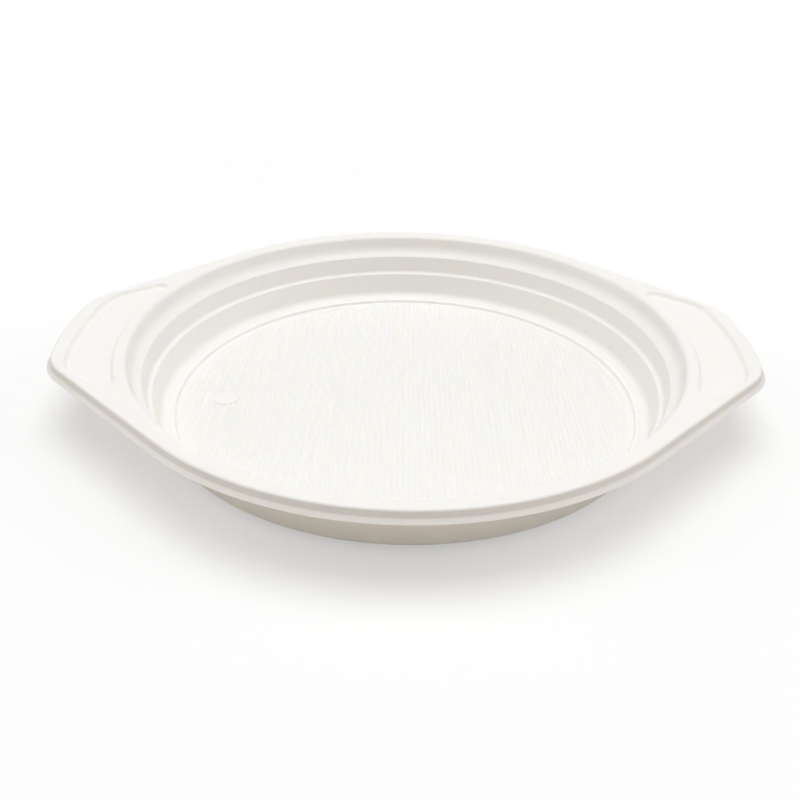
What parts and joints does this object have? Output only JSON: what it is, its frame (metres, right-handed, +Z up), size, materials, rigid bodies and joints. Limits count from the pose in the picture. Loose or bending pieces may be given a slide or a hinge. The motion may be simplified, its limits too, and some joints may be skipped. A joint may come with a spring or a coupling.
{
  "type": "eared plastic plate",
  "caption": "Round white disposable plastic plate with a ribbed floor, stepped bowl wall, flat rim and two grip ears with sunk panels.",
  "frame": {"origin": "centre of the underside of the floor, on the surface that the plate stands on", "axes": "+Z up, out of the bowl; +X along the two ears; +Y away from the side that the picture shows in front"},
  "size_m": [0.2478, 0.2098, 0.0267],
  "materials": {
    "plate": "soft satin gloss, warm white, opaque"
  },
  "bodies": {
    "root": {"plate": "plate"}
  },
  "joints": []
}
